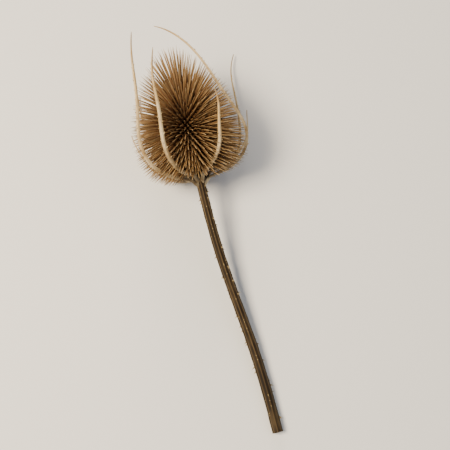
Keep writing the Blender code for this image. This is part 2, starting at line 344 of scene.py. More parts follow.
# Torn pith: pale, open and quite dull
PITH_FINISH = PlantFinish(
    name="dry_teasel_pith",
    stops=((0, "#b9a883"), (1, "#d9ccab")),
    weathered="#efe6cc",
    weathering=0.6,
    shade="#8a7752",
    roughness=0.95,
    gloss=0.1,
    relief=0.2 * MM,
)


class Finishes:
    """The materials by finish, each built once."""

    def __init__(self) -> None:
        """Starts with none."""
        self.made: dict[str, bpy.types.Material] = {}

    def of(self, finish: PlantFinish) -> bpy.types.Material:
        """Finds a finish's material, and builds it the first time.

        Args:
            finish: The finish.

        Returns:
            Its material.
        """
        if finish.name not in self.made:
            self.made[finish.name] = finish.build()
        return self.made[finish.name]


def unit_tube(sides: int, rings: int) -> bmesh.types.BMesh:
    """Makes a closed tube of radius 1 from z = 0 to z = 1.

    Args:
        sides: Faces round it.
        rings: Bands of faces from end to end.

    Returns:
        A new bmesh.
    """
    mesh = bmesh.new()
    middle = Matrix.Translation((0, 0, 0.5))
    bmesh.ops.create_cone(mesh, cap_ends=True, segments=sides, radius1=1, radius2=1, depth=1, matrix=middle)
    upright = [e for e in mesh.edges if abs(e.verts[0].co.z - e.verts[1].co.z) > 0.5]
    bmesh.ops.subdivide_edges(mesh, edges=upright, cuts=rings - 1)
    return mesh


def add_piece(
    name: str,
    mesh: bmesh.types.BMesh,
    materials: list[bpy.types.Material],
    replaces: tuple[str, ...] = (),
) -> bpy.types.Object:
    """Turns a bmesh into a shaded piece of the object that rides on its body.

    Args:
        name: The piece's name.
        mesh: Its mesh in the row's frame, which is freed.
        materials: Its materials, in the order of the faces' material indices.
        replaces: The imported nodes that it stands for.

    Returns:
        The piece.
    """
    if mesh.calc_volume(signed=True) < 0:
        bmesh.ops.reverse_faces(mesh, faces=mesh.faces)
    data = bpy.data.meshes.new(name)
    mesh.to_mesh(data)
    mesh.free()
    for material in materials:
        data.materials.append(material)
    data.shade_smooth()
    data.set_sharp_from_angle(angle=SHARP_ANGLE)
    piece = bpy.data.objects.new(name, data)
    bpy.context.scene.collection.objects.link(piece)
    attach(piece, "root")
    if replaces:
        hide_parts(*replaces)
    log.info("%s: %d faces", name, len(data.polygons))
    return piece


class Skin:
    """The attributes of a mesh's vertices that its finish reads."""

    def __init__(self, mesh: bmesh.types.BMesh) -> None:
        """Adds the layers to a mesh, before its vertices are picked out.

        Args:
            mesh: The mesh.
        """
        self.along = mesh.verts.layers.float.new("along")
        self.tint = mesh.verts.layers.float.new("tint")
        self.fibre = mesh.verts.layers.float_vector.new("fibre")
        mesh.verts.ensure_lookup_table()

    def paint(self, vert: bmesh.types.BMVert, along: float, tint: float, fibre: Vector) -> None:
        """Sets one vertex's attributes.

        Args:
            vert: The vertex.
            along: The share of the way from the root to the tip.
            tint: 0 is dark and 1 bright.
            fibre: Its place across and along the fibres, in metres.
        """
        vert[self.along] = along
        vert[self.tint] = tint
        vert[self.fibre] = fibre


@dataclass
class Thorn:
    """A tapering spike between two points: a spine, a prickle or a seed."""

    root: Vector
    tip: Vector
    side: Vector
    half_width: float
    half_depth: float
    bow: Vector = field(default_factory=lambda: Vector((0, 0, 0)))
    tint: float = 0.5

    def shape(self, verts: list[bmesh.types.BMVert], skin: Skin) -> None:
        """Bends a unit spike's vertices to this one.

        Args:
            verts: A copy of the unit spike, which runs from z = 0 to z = 1.
            skin: The mesh's attributes.
        """
        run = self.tip - self.root
        deep = run.normalized().cross(self.side)
        for vert in verts:
            x, y, z = vert.co
            centre = self.root + run * z + self.bow * (4 * z * (1 - z))
            vert.co = centre + self.side * (x * self.half_width) + deep * (y * self.half_depth)
            vert.co.z = max(0, vert.co.z)
            own = self.tint * TINT_APART
            fibre = Vector((x * self.half_width + own, y * self.half_depth, z * run.length * LENGTHWISE))
            skin.paint(vert, z, self.tint, fibre)


def spikes(shape: bmesh.types.BMesh, thorns: list[Thorn]) -> bmesh.types.BMesh:
    """Makes one mesh of many thorns.

    Args:
        shape: The unit spike, which is freed.
        thorns: Where they stand.

    Returns:
        The mesh, with its attributes.
    """
    single = bpy.data.meshes.new("single")
    shape.to_mesh(single)
    shape.free()
    mesh = bmesh.new()
    for _ in thorns:
        mesh.from_mesh(single)
    each = len(single.vertices)
    bpy.data.meshes.remove(single)
    skin = Skin(mesh)
    for i, thorn in enumerate(thorns):
        thorn.shape(mesh.verts[i * each : (i + 1) * each], skin)
    return mesh


@dataclass(frozen=True)
class HeadAxes:
    """Where the head's core starts, and the head's own directions.

    An azimuth goes round the head's axis: 0 is to the right, 90 degrees is up and 270 down.
    """

    base: Vector = field(default_factory=lambda: Vector((-5.4, 28.62, 21.45)) * MM)
    rise: float = math.radians(15.6)
    turn: float = math.radians(3)

    @property
    def along(self) -> Vector:
        """The direction of the head's axis, from the stem to its tip."""
        return heading(self.turn, self.rise)

    @property
    def across(self) -> Vector:
        """The direction to the right."""
        return Vector((math.cos(self.turn), -math.sin(self.turn), 0))

    @property
    def up(self) -> Vector:
        """The direction up, square to the axis."""
        return self.across.cross(self.along)

    def radial(self, azimuth: float) -> Vector:
        """The direction away from the axis at this azimuth."""
        return self.across * math.cos(azimuth) + self.up * math.sin(azimuth)

    def tangent(self, azimuth: float) -> Vector:
        """The direction round the axis at this azimuth."""
        return self.up * math.cos(azimuth) - self.across * math.sin(azimuth)

    def point(self, azimuth: float, out: float, along: float) -> Vector:
        """The point this far out from the axis and this far along it."""
        return self.base + self.radial(azimuth) * out + self.along * along


@dataclass
class Thicket:
    """The bracts, which the spines keep clear of.

    A spine is tested at some shares of its length, and where it isn't clear it tries turns, in degrees round
    the head. Each line is a bract's centre points, with half its width at each.
    """

    lines: list[list[tuple[Vector, float]]]
    clearance: float = 0.5 * MM
    tested: tuple[float, ...] = (0.3, 0.45, 0.6, 0.75, 0.9, 1)
    turns: tuple[int, ...] = (0, 3, -3, 6, -6, 9, -9, 12, -12, 15, -15, 18, -18, 21, -21)
    widths: list[float] = field(init=False)
    tree: kdtree.KDTree = field(init=False)

    def __post_init__(self) -> None:
        """Sorts the bracts' centre points by place."""
        points = [point for line in self.lines for point in line]
        self.widths = [width for _, width in points]
        self.tree = kdtree.KDTree(len(points))
        for i, (centre, _) in enumerate(points):
            self.tree.insert(centre, i)
        self.tree.balance()

    def is_clear(self, root: Vector, tip: Vector) -> bool:
        """Tells whether the outer part of a spine keeps clear of every bract.

        Args:
            root: Where the spine leaves the core.
            tip: Where it ends.

        Returns:
            True if it does.
        """
        for share in self.tested:
            _, i, gap = self.tree.find(root.lerp(tip, share))
            if gap < self.widths[i] + self.clearance:
                return False
        return True


@dataclass
class Stem:
    """The ribbed stalk: flat on the floor at its cut end, climbing to the head and flaring under it."""

    axes: HeadAxes
    length: float = 134 * MM
    radius_cut: float = 2.5 * MM
    radius_neck: float = 2.1 * MM
    rib: float = 0.07
    ribs: int = 8
    sway: float = 2.4 * MM
    flare_length: float = 9 * MM
    flare_growth: float = 2.2 * MM
    gap: float = 0.35 * MM
    path_steps: int = 26
    sides: int = 64
    rings: int = 190
    striae: float = 0.012
    striae_per_rib: int = 3
    striae_sway: float = 6
    striae_waves: float = 9
    lumps: float = 0.1 * MM
    lump_size: float = 4 * MM
    wall: float = 1.05 * MM
    bark: float = 0.32 * MM
    hollow_depth: float = 7 * MM
    tear: float = 0.45 * MM
    tear_size: float = 0.9 * MM
    pith_size: float = 0.5 * MM
    rib_tone_and_painted_light: float = 0.45
    tones: tuple[float, float] = (0.85, 1.1)
    patches: float = 0.35
    patches_round: float = 3
    patches_along: float = 7
    prickles: int = 150
    prickled: tuple[float, float] = (0.02, 0.95)
    prickle_crowding: float = 0.8
    prickle_radius: float = 0.5 * MM
    prickle_slimmest: float = 0.6
    prickle_lengths: tuple[float, float] = (0.5 * MM, 1.9 * MM)
    prickle_mostly_short: float = 1.5
    prickle_back: float = math.radians(28)
    prickle_rooted: float = 0.8
    prickle_tints: tuple[float, float] = (0.4, 0.9)
    seed: int = 5

    def path(self) -> list[tuple[Vector, Vector]]:
        """Works out the centre line.

        Returns:
            Its points and directions, from the cut end to the head.
        """
        step = self.length / self.path_steps
        point, line = self.axes.base - self.axes.along * self.gap, []
        for i in range(self.path_steps, -1, -1):
            share = i / self.path_steps
            rise = self.axes.rise * share
            swing = self.sway / self.length * math.tau * (math.cos(math.tau * share) - 1) / 2
            along = heading(self.axes.turn + swing, rise)
            line.append((point.copy(), along))
            point = point - along * step
        return line[::-1]

    def flare(self, below: float) -> float:
        """How much thicker the stem is this far below its top."""
        return self.flare_growth * max(0, 1 - below / self.flare_length) ** 2

    def radius(self, share: float) -> float:
        """The mean radius at this share of the length from the cut."""
        return mix(self.radius_cut, self.radius_neck, share) + self.flare((1 - share) * self.length)

    def point(self, path: list[tuple[Vector, Vector]], share: float, azimuth: float, out: float) -> Vector:
        """Finds a point beside the centre line.

        Args:
            path: The centre line.
            share: How far from the cut, as a share of the length.
            azimuth: The angle round the centre line.
            out: How far from the centre line.

        Returns:
            The point.
        """
        # Stays just short of the last point, so that there is always one after it
        place = min(len(path) - 1.000001, max(0, share * (len(path) - 1)))
        i = int(place)
        centre = path[i][0].lerp(path[i + 1][0], place - i)
        along = path[i][1].lerp(path[i + 1][1], place - i).normalized()
        across = along.cross(Vector((0, 0, 1))).normalized()
        up = across.cross(along)
        return centre + (across * math.cos(azimuth) + up * math.sin(azimuth)) * out

    def ribbed(self, azimuth: float) -> float:
        """The relief at this azimuth, from -1 in a broad groove to 1 on a narrow rib."""
        return 2 * abs(math.cos(azimuth * self.ribs / 2)) ** 3 - 1

    def build_stalk(self, finishes: Finishes) -> bpy.types.Object:
        """Builds the stalk with its ribs, fine striae and pithy hollow.

        Args:
            finishes: The materials.

        Returns:
            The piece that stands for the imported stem.
        """
        path = self.path()
        mesh = unit_tube(self.sides, self.rings)
        skin = Skin(mesh)
        bottom = min(mesh.faces, key=lambda f: f.calc_center_median().z)
        for vert in mesh.verts:
            share = vert.co.z
            azimuth = math.atan2(vert.co.y, -vert.co.x)
            relief = self.ribbed(azimuth)
            sway = self.striae_sway * math.sin(share * self.striae_waves)
            fine = self.striae * math.sin(azimuth * self.ribs * self.striae_per_rib + sway)
            out = self.radius(share) * (1 + self.rib * relief + fine)
            centre = self.point(path, share, azimuth, out)
            out += self.lumps * noise.noise(centre / self.lump_size)
            ragged = max(0, noise.noise(centre / self.tear_size)) if share == 0 else 0
            torn = self.tear / self.length * ragged
            vert.co = self.point(path, share + torn, azimuth, out)
            vert.co.z = max(0, vert.co.z)
            # The ribs are paler than the grooves: partly the stalk's own colour, partly painted shade in the
            # grooves and a painted highlight on the ribs. It is darker at the cut than at the neck
            rib = (0.5 + self.rib_tone_and_painted_light * relief) * mix(*self.tones, ease(share))
            spot = Vector((azimuth * self.patches_round, share * self.patches_along, 0))
            patch = 0.5 + self.patches * noise.noise(spot)
            round_it = Vector((math.cos(azimuth) * out, math.sin(azimuth) * out, 0))
            skin.paint(vert, rib, patch, round_it + Vector((0, 0, share * self.length * LENGTHWISE)))
        self.open_end(mesh, skin, bottom, path[0])
        materials = [finishes.of(STEM_FINISH), finishes.of(PITH_FINISH)]
        return add_piece("stalk", mesh, materials, ("stem",))

    def open_end(
        self, mesh: bmesh.types.BMesh, skin: Skin, cap: bmesh.types.BMFace, end: tuple[Vector, Vector]
    ) -> None:
        """Turns the flat cap at the cut into bark, torn pith and a hollow, with painted shade darkening the
        hollow.

        Args:
            mesh: The stalk.
            skin: Its attributes.
            cap: The face that closes the cut end.
            end: The centre line's first point and its direction.
        """
        centre, along = end
        hollow = self.radius_cut - self.wall
        pith = self.radius_cut * (1 - self.rib) - self.bark
        # Each ring's radius, how far in it lies, how rough it is, its tint, which darkens down into the
        # hollow as painted shade, and its face's material
        rings = (
            (pith, 0, 0, 0.4, 0),
            (mix(hollow, pith, 0.5), 0.12 * MM, 0.25 * MM, 0.8, 1),
            (hollow, 0.2 * MM, 0.35 * MM, 0.7, 1),
            (hollow * 0.92, 1.2 * MM, 0.1 * MM, 0.45, 1),
            (hollow * 0.85, self.hollow_depth, 0, 0, 1),
        )
        for radius, sunk, rough, tint, material in rings:
            cap = bmesh.ops.extrude_discrete_faces(mesh, faces=[cap])["faces"][0]
            for vert in cap.verts:
                away = vert.co - centre
                away = (away - along * away.dot(along)).normalized()
                torn = rough * noise.noise((centre + away * radius) / self.pith_size)
                vert.co = centre + away * (radius + torn) + along * max(0, sunk + torn)
                vert[skin.tint] = tint
                for face in vert.link_faces:
                    face.material_index = material

    def build_prickles(self, finishes: Finishes) -> bpy.types.Object:
        """Builds the recurved prickles on the ribs, closer together towards the head.

        Args:
            finishes: The materials.

        Returns:
            The prickles as one piece.
        """
        path, draw, thorns = self.path(), random.Random(self.seed), []
        for i in range(self.prickles):
            share = mix(*self.prickled, ((i + draw.random()) / self.prickles) ** self.prickle_crowding)
            azimuth = draw.randrange(self.ribs) * math.tau / self.ribs
            length = mix(*self.prickle_lengths, draw.random() ** self.prickle_mostly_short)
            surface = self.radius(share)
            back = length * math.sin(self.prickle_back) / self.length
            root = self.point(path, share, azimuth, surface * self.prickle_rooted)
            tip = self.point(path, share - back, azimuth, surface + length * math.cos(self.prickle_back))
            if tip.z < self.gap or share - back <= 0:
                continue
            run = tip - root
            stem_way = path[round(share * self.path_steps)][1]
            side = run.cross(stem_way).normalized()
            width = self.prickle_radius * mix(self.prickle_slimmest, 1, length / self.prickle_lengths[1])
            bow = stem_way * (PRICKLE_BOW * length)
            tint = draw.uniform(*self.prickle_tints)
            thorns.append(Thorn(root, tip, side, width, width * PRICKLE_DEEP, bow, tint))
        mesh = spikes(prickle_shape(), thorns)
        return add_piece("stem_prickles", mesh, [finishes.of(PRICKLE_FINISH)])

    def build(self, finishes: Finishes) -> list[bpy.types.Object]:
        """Every piece of the stem."""
        return [self.build_stalk(finishes), self.build_prickles(finishes)]


def prickle_shape() -> bmesh.types.BMesh:
    """Makes a unit prickle: broad at its foot and hollow-sided up to its point.

    Returns:
        A new bmesh, which runs from z = 0 to z = 1.
    """
    mesh = unit_tube(PRICKLE_SIDES, PRICKLE_RINGS)
    for vert in mesh.verts:
        size = mix(PRICKLE_POINT, 1, (1 - vert.co.z) ** PRICKLE_HOLLOW)
        vert.co.x *= size
        vert.co.y *= size
    return mesh


class Ring(Enum):
    """The two rings under the head that bracts spring from, as distances below its base."""

    LOW = 3.4 * MM
    HIGH = 1.5 * MM


@dataclass
class Bract:
    """One long, narrow, channelled bract with a prickly keel and edges.

    A heading of 0 degrees is straight out from the head's axis, and 90 is along it.
    """

    axes: HeadAxes
    stem: Stem
    number: int
    ring: Ring
    azimuth: float
    length: float
    leaves: float
    bends_to: float
    curl: float
    drift: float
    twist: float
    straight: float = 3 * MM
    bend: float = 44 * MM
    curl_share: float = 0.45
    curl_power: float = 1.5
    wave: float = 5
    sway: float = 2.5
    waves: float = 1.7
    steps: int = 60
    sides: int = 18
    half_width: float = 1.4 * MM
    root_width: float = 0.85
    root_ends: float = 0.12
    tip_half_width: float = 0.12 * MM
    taper: float = 0.6
    twist_power: float = 1.4
    keel: float = 0.85 * MM
    keel_rounded: float = 0.4
    face: float = 0.4 * MM
    channel: float = 0.25
    edges_rolled: float = 1.5
    roll_starts: float = 0.08
    tip_depth: float = 0.3
    press: float = 1.5 * MM
    lift: float = 0.9 * MM
    rooted: float = 1.8 * MM
    foot: float = 5 * MM
    foot_drop: float = 2.2 * MM
    foot_growth: float = 1.3
    tone: float = 0.45
    keel_paler: float = 0.3
    fibres_apart: float = 11 * MM
    prickle_step: float = 2.1 * MM
    prickle_uneven: float = 0.3
    prickled: float = 0.86
    prickle_lengths: tuple[float, float] = (0.5 * MM, 1.35 * MM)
    prickle_tip_size: float = 0.5
    prickle_rooted: float = 0.7
    prickle_out: float = 0.8
    prickle_radii: tuple[float, float] = (0.16 * MM, 0.3 * MM)
    prickle_tints: tuple[float, float] = (0.4, 0.7)

    @property
    def name(self) -> str:
        """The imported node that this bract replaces."""
        return f"bract_{self.number}"

    def lifted(self, point: Vector) -> Vector:
        """Bends up a bract that would pass through the floor, so that it lies on it.

        Args:
            point: A point of its centre line.

        Returns:
            The point, raised where it has to be.
        """
        height = point.z - self.lift
        rise = (height + math.sqrt(height * height + 4 * self.press * self.press)) / 2
        return Vector((point.x, point.y, self.lift + rise))

    def line(self) -> list[tuple[Vector, Vector, Vector]]:
        """Works out the bract's course.

        Returns:
            Centre points, directions and outward normals, from the root to the tip.
        """
        below = self.ring.value
        out = (self.stem.radius_neck + self.stem.flare(below)) * (1 + self.stem.rib) + self.stem.gap
        along = -below
        step = self.length / self.steps
        line = []
        for i in range(self.steps + 1):
            share = i / self.steps
            bend = ease((i * step - self.straight) / min(self.bend, self.length - self.straight))
            late = max(0, share - (1 - self.curl_share)) / self.curl_share
            wave = share * math.sin(math.tau * self.waves * share + self.azimuth)
            curled = self.curl * late**self.curl_power
            climb = math.radians(mix(self.leaves, self.bends_to, bend) + curled + self.wave * wave)
            azimuth = math.radians(self.azimuth + self.drift * share**2 + self.sway * wave)
            away = self.axes.radial(azimuth)
            direction = away * math.cos(climb) + self.axes.along * math.sin(climb)
            normal = away * math.sin(climb) - self.axes.along * math.cos(climb)
            line.append((self.lifted(self.axes.point(azimuth, out, along)), direction, normal))
            out += step * math.cos(climb)
            along += step * math.sin(climb)
        return line

    def footing(self, share: float) -> float:
        """1 at the root, falling to 0 where the blade's foot ends."""
        return max(0, 1 - share * self.length / self.foot) ** 2

    def width(self, share: float) -> float:
        """Half the width: narrow at the root, then tapering to a fine point."""
        swell = mix(self.root_width, 1, ease(share / self.root_ends))
        return mix(self.tip_half_width, self.half_width * swell, (1 - share) ** self.taper)

    def centres(self) -> list[tuple[Vector, float]]:
        """The centre points with half the width at each."""
        return [(centre, self.width(i / self.steps)) for i, (centre, _, _) in enumerate(self.line())]

    def sections(self) -> list[tuple[Vector, Vector, Vector, Vector]]:
        """Turns the course's sections by the blade's own twist.

        Returns:
            The centre, direction, side and outward normal of each section.
        """
        found = []
        for i, (centre, direction, normal) in enumerate(self.line()):
            side = normal.cross(direction).normalized()
            turn = math.radians(self.twist * (i / self.steps) ** self.twist_power)
            roll = Matrix.Rotation(turn, 3, direction)
            found.append((centre, direction, roll @ side, roll @ normal))
        return found

    def depth(self, angle: float, share: float) -> float:
        """How far the surface stands out along the normal.

        Args:
            angle: The angle round the section: 90 degrees is the keel, 270 the channel.
            share: How far from the root, as a share of the length.

        Returns:
            The distance, which is below 0 on the channelled face.
        """
        thin = mix(1, self.tip_depth, share)
        high = math.sin(angle)
        starts = ease(share / self.roll_starts)
        rolled = self.face * thin * self.edges_rolled * math.cos(angle) ** 2 * starts
        if high >= 0:
            buttress = 1 + self.foot_growth * self.footing(share)
            keeled = self.keel_rounded * high + (1 - self.keel_rounded) * high**4
            return self.keel * thin * keeled * buttress - rolled
        return self.channel * self.face * thin * high - rolled

    def build_blade(self, finishes: Finishes) -> bpy.types.Object:
        """Builds the blade with its keel, channel and prickles.

        Args:
            finishes: The materials.

        Returns:
            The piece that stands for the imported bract.
        """
        mesh = unit_tube(self.sides, self.steps)
        skin = Skin(mesh)
        sections = self.sections()
        for vert in mesh.verts:
            share = vert.co.z
            angle = math.atan2(vert.co.y, vert.co.x)
            centre, direction, side, normal = sections[round(share * self.steps)]
            if share == 0:
                centre = centre - direction * self.rooted - self.axes.along * self.foot_drop
            flat = self.width(share) * math.cos(angle)
            deep = self.depth(angle, share)
            vert.co = centre + side * flat + normal * deep
            vert.co.z = max(0, vert.co.z)
            midrib = self.tone + self.keel_paler * max(0, math.sin(angle)) ** 6
            own = self.number * self.fibres_apart
            skin.paint(vert, share, midrib, Vector((flat + own, deep, share * self.length * LENGTHWISE)))
        spiked = spikes(prickle_shape(), self.thorns(sections))
        prickles = bpy.data.meshes.new("prickles")
        spiked.to_mesh(prickles)
        spiked.free()
        mesh.from_mesh(prickles)
        bpy.data.meshes.remove(prickles)
        return add_piece(self.name + "_blade", mesh, [finishes.of(BRACT_FINISH)], (self.name,))

    def thorns(self, sections: list[tuple[Vector, Vector, Vector, Vector]]) -> list[Thorn]:
        """Sets out the prickles, which take turns between the keel and the two edges.

        Args:
            sections: The blade's sections.

        Returns:
            The prickles.
        """
        draw, thorns = random.Random(self.number), []
        count = int(self.length / self.prickle_step)
        for i in range(1, count):
            shifted = i + draw.uniform(-self.prickle_uneven, self.prickle_uneven)
            share = shifted / count * self.prickled
            centre, direction, side, normal = sections[round(share * self.steps)]
            length = mix(*self.prickle_lengths, draw.random()) * mix(1, self.prickle_tip_size, share)
            edge, keel = self.width(share), self.depth(math.pi / 2, share)
            out, reach = ((normal, keel), (side, edge), (-side, edge))[i % 3]
            root = centre + out * (reach * self.prickle_rooted)
            tip = centre + out * (reach + length * self.prickle_out) + direction * length
            if tip.z <= 0:
                continue
            across = out.cross(direction).normalized()
            radius = mix(*self.prickle_radii, length / self.prickle_lengths[1])
            bow = out * (-PRICKLE_BOW * length)
            tint = draw.uniform(*self.prickle_tints)
            thorns.append(Thorn(root, tip, across, radius, radius * PRICKLE_DEEP, bow, tint))
        return thorns


@dataclass
class SeedHead:
    """The ovoid receptacle, its spines and the seeds between them."""

    axes: HeadAxes
    thicket: Thicket
    core_length: float = 46 * MM
    core_radius: float = 14.5 * MM
    core_widest: float = 0.4
    core_fullness: float = 0.72
    core_start: float = 0.027
    core_end: float = 0.996
    core_sides: int = 72
    core_rings: int = 44
    core_sunk: float = 0.25 * MM
    core_lump_size: float = 1.1 * MM
    area_steps: int = 400
    spines: int = 1350
    spine_first: float = 0.022
    spine_last: float = 0.992
    spine_length_base: float = 9 * MM
    spine_length_side: float = 14.4 * MM
    spine_length_tuft: float = 19.5 * MM
    base_ends: float = 0.25
    tuft_starts: float = 0.58
    lean_base: float = math.radians(-30)
    lean_power: float = 2.0
    spine_sides: int = 6
    spine_rings: int = 7
    spine_half_width: float = 0.9 * MM
    spine_depth_share: float = 0.8
    scale_at: float = 0.13
    scale_spread: float = 0.12
    scale_width: float = 0.6
    scale_hollow: float = 0.3
    awn_tip: float = 0.05
    awn_foot: float = 0.44
    awn_keel: float = 1.1
    awn_face: float = 0.8
    spine_root_depth: float = 1.4 * MM
    spine_spread: float = math.radians(3)
    spine_uneven: float = 0.07
    spine_bow: float = 0.025
    spine_swing: float = 0.3
    spine_roll: float = 14
    seed_sides: int = 5
    seed_rings: int = 4
    seed_length: float = 4.6 * MM
    seed_lengths: tuple[float, float] = (0.7, 1.1)
    seed_half_width: float = 0.5 * MM
    seed_widths: tuple[float, float] = (0.75, 1.15)
    seed_end: float = 0.35
    seed_above: float = 0.9 * MM
    seed_rooted: float = 1 * MM
    seed_spread: float = 0.1
    seeds_short_from: float = 0.93
    seeds_short: float = 0.6
    draw_seed: int = 11

    def radius(self, share: float) -> float:
        """Works out the core's radius.

        Args:
            share: How far from the base, as a share of the core's length.

        Returns:
            The radius.
        """
        along = mix(self.core_start, 1, share)
        power = math.log(0.5) / math.log(self.core_widest)
        return self.core_radius * max(0, math.sin(math.pi * along**power)) ** self.core_fullness

    def on_core(self, share: float, azimuth: float) -> Vector:
        """A point on the core."""
        return self.axes.point(azimuth, self.radius(share), share * self.core_length)

    def shares(self, count: int) -> list[float]:
        """Spaces the spines so that each has the same area of the core.

        Args:
            count: How many there are.

        Returns:
            Where each one stands, as a share of the core's length.
        """
        steps = self.area_steps
        area, total = [], 0.0
        for i in range(steps):
            low, high = i / steps, (i + 1) / steps
            slant = math.hypot(self.radius(high) - self.radius(low), self.core_length / steps)
            total += slant * self.radius((low + high) / 2)
            area.append(total)
        first = area[int(self.spine_first * steps)]
        last = area[int(self.spine_last * steps)]
        wanted = [mix(first, last, (i + 0.5) / count) for i in range(count)]
        return [(bisect.bisect(area, a) + 0.5) / steps for a in wanted]

    def spine_length(self, share: float) -> float:
        """Makes spines short at the base, even round the side and long in the tuft.

        Args:
            share: Where the spine stands, as a share of the core's length.

        Returns:
            Its length.
        """
        if share < self.base_ends:
            short = (1 - share / self.base_ends) ** 2
            return mix(self.spine_length_side, self.spine_length_base, short)
        tuft = max(0, share - self.tuft_starts) / (1 - self.tuft_starts)
        return mix(self.spine_length_side, self.spine_length_tuft, tuft**2)

    def direction(self, share: float, azimuth: float, lean_by: float) -> Vector:
        """The spines lean more and more along the axis towards the tip."""
        lean = mix(self.lean_base, math.pi / 2, share**self.lean_power) + lean_by
        return self.axes.radial(azimuth) * math.cos(lean) + self.axes.along * math.sin(lean)

    def ways(self, share: float, azimuth: float, lean_by: float, length: float) -> Iterator[Vector]:
        """Offers a spine's courses, the straight one first, then turned aside.

        Args:
            share: Where it stands, as a share of the core's length.
            azimuth: Where it stands round the axis.
            lean_by: How much more than its neighbours it leans.
            length: Its length.

        Yields:
            The way from its foot to its tip.
        """
        for turn in self.thicket.turns:
            yield self.direction(share, azimuth + math.radians(turn), lean_by) * length

    def spine_thorns(self) -> list[Thorn]:
        """Sets out the spines in a golden-angle spiral from the base to the tip.

        Returns:
            The spines that find a way past the bracts.
        """
        draw, thorns = random.Random(self.draw_seed), []
        for i, share in enumerate(self.shares(self.spines)):
            azimuth = i * GOLDEN_ANGLE
            lean_by = draw.uniform(-self.spine_spread, self.spine_spread)
            length = self.spine_length(share) * draw.uniform(1 - self.spine_uneven, 1 + self.spine_uneven)
            roll = math.radians(draw.uniform(-self.spine_roll, self.spine_roll))
            swing, tint = draw.uniform(-1, 1), draw.random()
            surface = self.on_core(share, azimuth)
            for way in self.ways(share, azimuth, lean_by, length):
                tip = surface + way
                tip.z = max(0, tip.z)
                if self.thicket.is_clear(surface, tip):
                    break
            else:
                continue
            run = (tip - surface).normalized()
            tangent = self.axes.tangent(azimuth)
            side = (tangent - run * tangent.dot(run)).normalized()
            side = Matrix.Rotation(roll, 3, run) @ side
            bow = side.cross(run) * (self.spine_bow * length)
            bow += side * (swing * self.spine_swing * self.spine_bow * length)
            half = self.spine_half_width
            root = surface - run * self.spine_root_depth
            thorns.append(Thorn(root, tip, side, half, half * self.spine_depth_share, bow, tint))
        return thorns

    def spine_shape(self) -> bmesh.types.BMesh:
        """Makes a unit spine: a keeled scale at its foot that narrows quickly to a long stiff awn.

        Returns:
            A new bmesh, which runs from z = 0 to z = 1.
        """
        mesh = unit_tube(self.spine_sides, self.spine_rings)
        for vert in mesh.verts:
            z = vert.co.z
            scale = math.exp(-(((z - self.scale_at) / self.scale_spread) ** 2))
            awn = self.awn_tip + self.awn_foot * (1 - z) ** 0.5
            hollow = self.awn_face - self.scale_hollow * scale
            vert.co.x *= awn + self.scale_width * scale
            vert.co.y *= awn * (self.awn_keel if vert.co.y > 0 else hollow)
        return mesh

    def build_spines(self, finishes: Finishes) -> bpy.types.Object:
        """All the spines as one piece."""
        mesh = spikes(self.spine_shape(), self.spine_thorns())
        return add_piece("spines", mesh, [finishes.of(SPINE_FINISH)], ("seed_head",))

    def build_core(self, finishes: Finishes) -> bpy.types.Object:
        """Builds the receptacle, a little under the surface that the spines are measured from.

        Args:
            finishes: The materials.

        Returns:
            The piece.
        """
        mesh = unit_tube(self.core_sides, self.core_rings)
        skin = Skin(mesh)
        for vert in mesh.verts:
            share = (1 - math.cos(math.pi * vert.co.z)) / 2
            azimuth = math.atan2(vert.co.y, -vert.co.x)
            point = self.on_core(share * self.core_end, azimuth)
            lump = noise.noise(point / self.core_lump_size)
            # The noise goes down to -1, so 1.3 keeps every lump under the surface
            vert.co = point - self.axes.radial(azimuth) * (self.core_sunk * (1.3 + lump))
            skin.paint(vert, share, 0.5 + 0.4 * lump, point)
        return add_piece("receptacle", mesh, [finishes.of(RECEPTACLE_FINISH)])

    def seed_shape(self) -> bmesh.types.BMesh:
        """Makes a unit seed, which widens to its middle and ends bluntly.

        Returns:
            A new bmesh, which runs from z = 0 to z = 1.
        """
        mesh = unit_tube(self.seed_sides, self.seed_rings)
        for vert in mesh.verts:
            at_end = vert.co.z > 0.9
            size = self.seed_end if at_end else mix(*self.seed_widths, ease(vert.co.z / 0.5))
            vert.co.x *= size
            vert.co.y *= size
        return mesh

    def build_seeds(self, finishes: Finishes) -> bpy.types.Object:
        """Builds a blunt seed in the axil of each spine.

        Args:
            finishes: The materials.

        Returns:
            The seeds as one piece.
        """
        draw, thorns = random.Random(self.draw_seed + 1), []
        for i, share in enumerate(self.shares(self.spines)):
            azimuth = i * GOLDEN_ANGLE
            above = min(self.spine_last, share + self.seed_above / self.core_length)
            surface = self.on_core(above, azimuth)
            way = self.direction(above, azimuth, draw.uniform(-self.seed_spread, self.seed_spread))
            short = self.seeds_short if share > self.seeds_short_from else 1
            length = self.seed_length * draw.uniform(*self.seed_lengths) * short
            side = self.axes.tangent(azimuth)
            root, tip = surface - way * self.seed_rooted, surface + way * length
            half = self.seed_half_width
            thorns.append(Thorn(root, tip, side, half, half, tint=draw.random()))
        mesh = spikes(self.seed_shape(), thorns)
        return add_piece("seeds", mesh, [finishes.of(SEED_FINISH)])

    def build(self, finishes: Finishes) -> list[bpy.types.Object]:
        """Every piece of the head."""
        return [self.build_core(finishes), self.build_seeds(finishes), self.build_spines(finishes)]


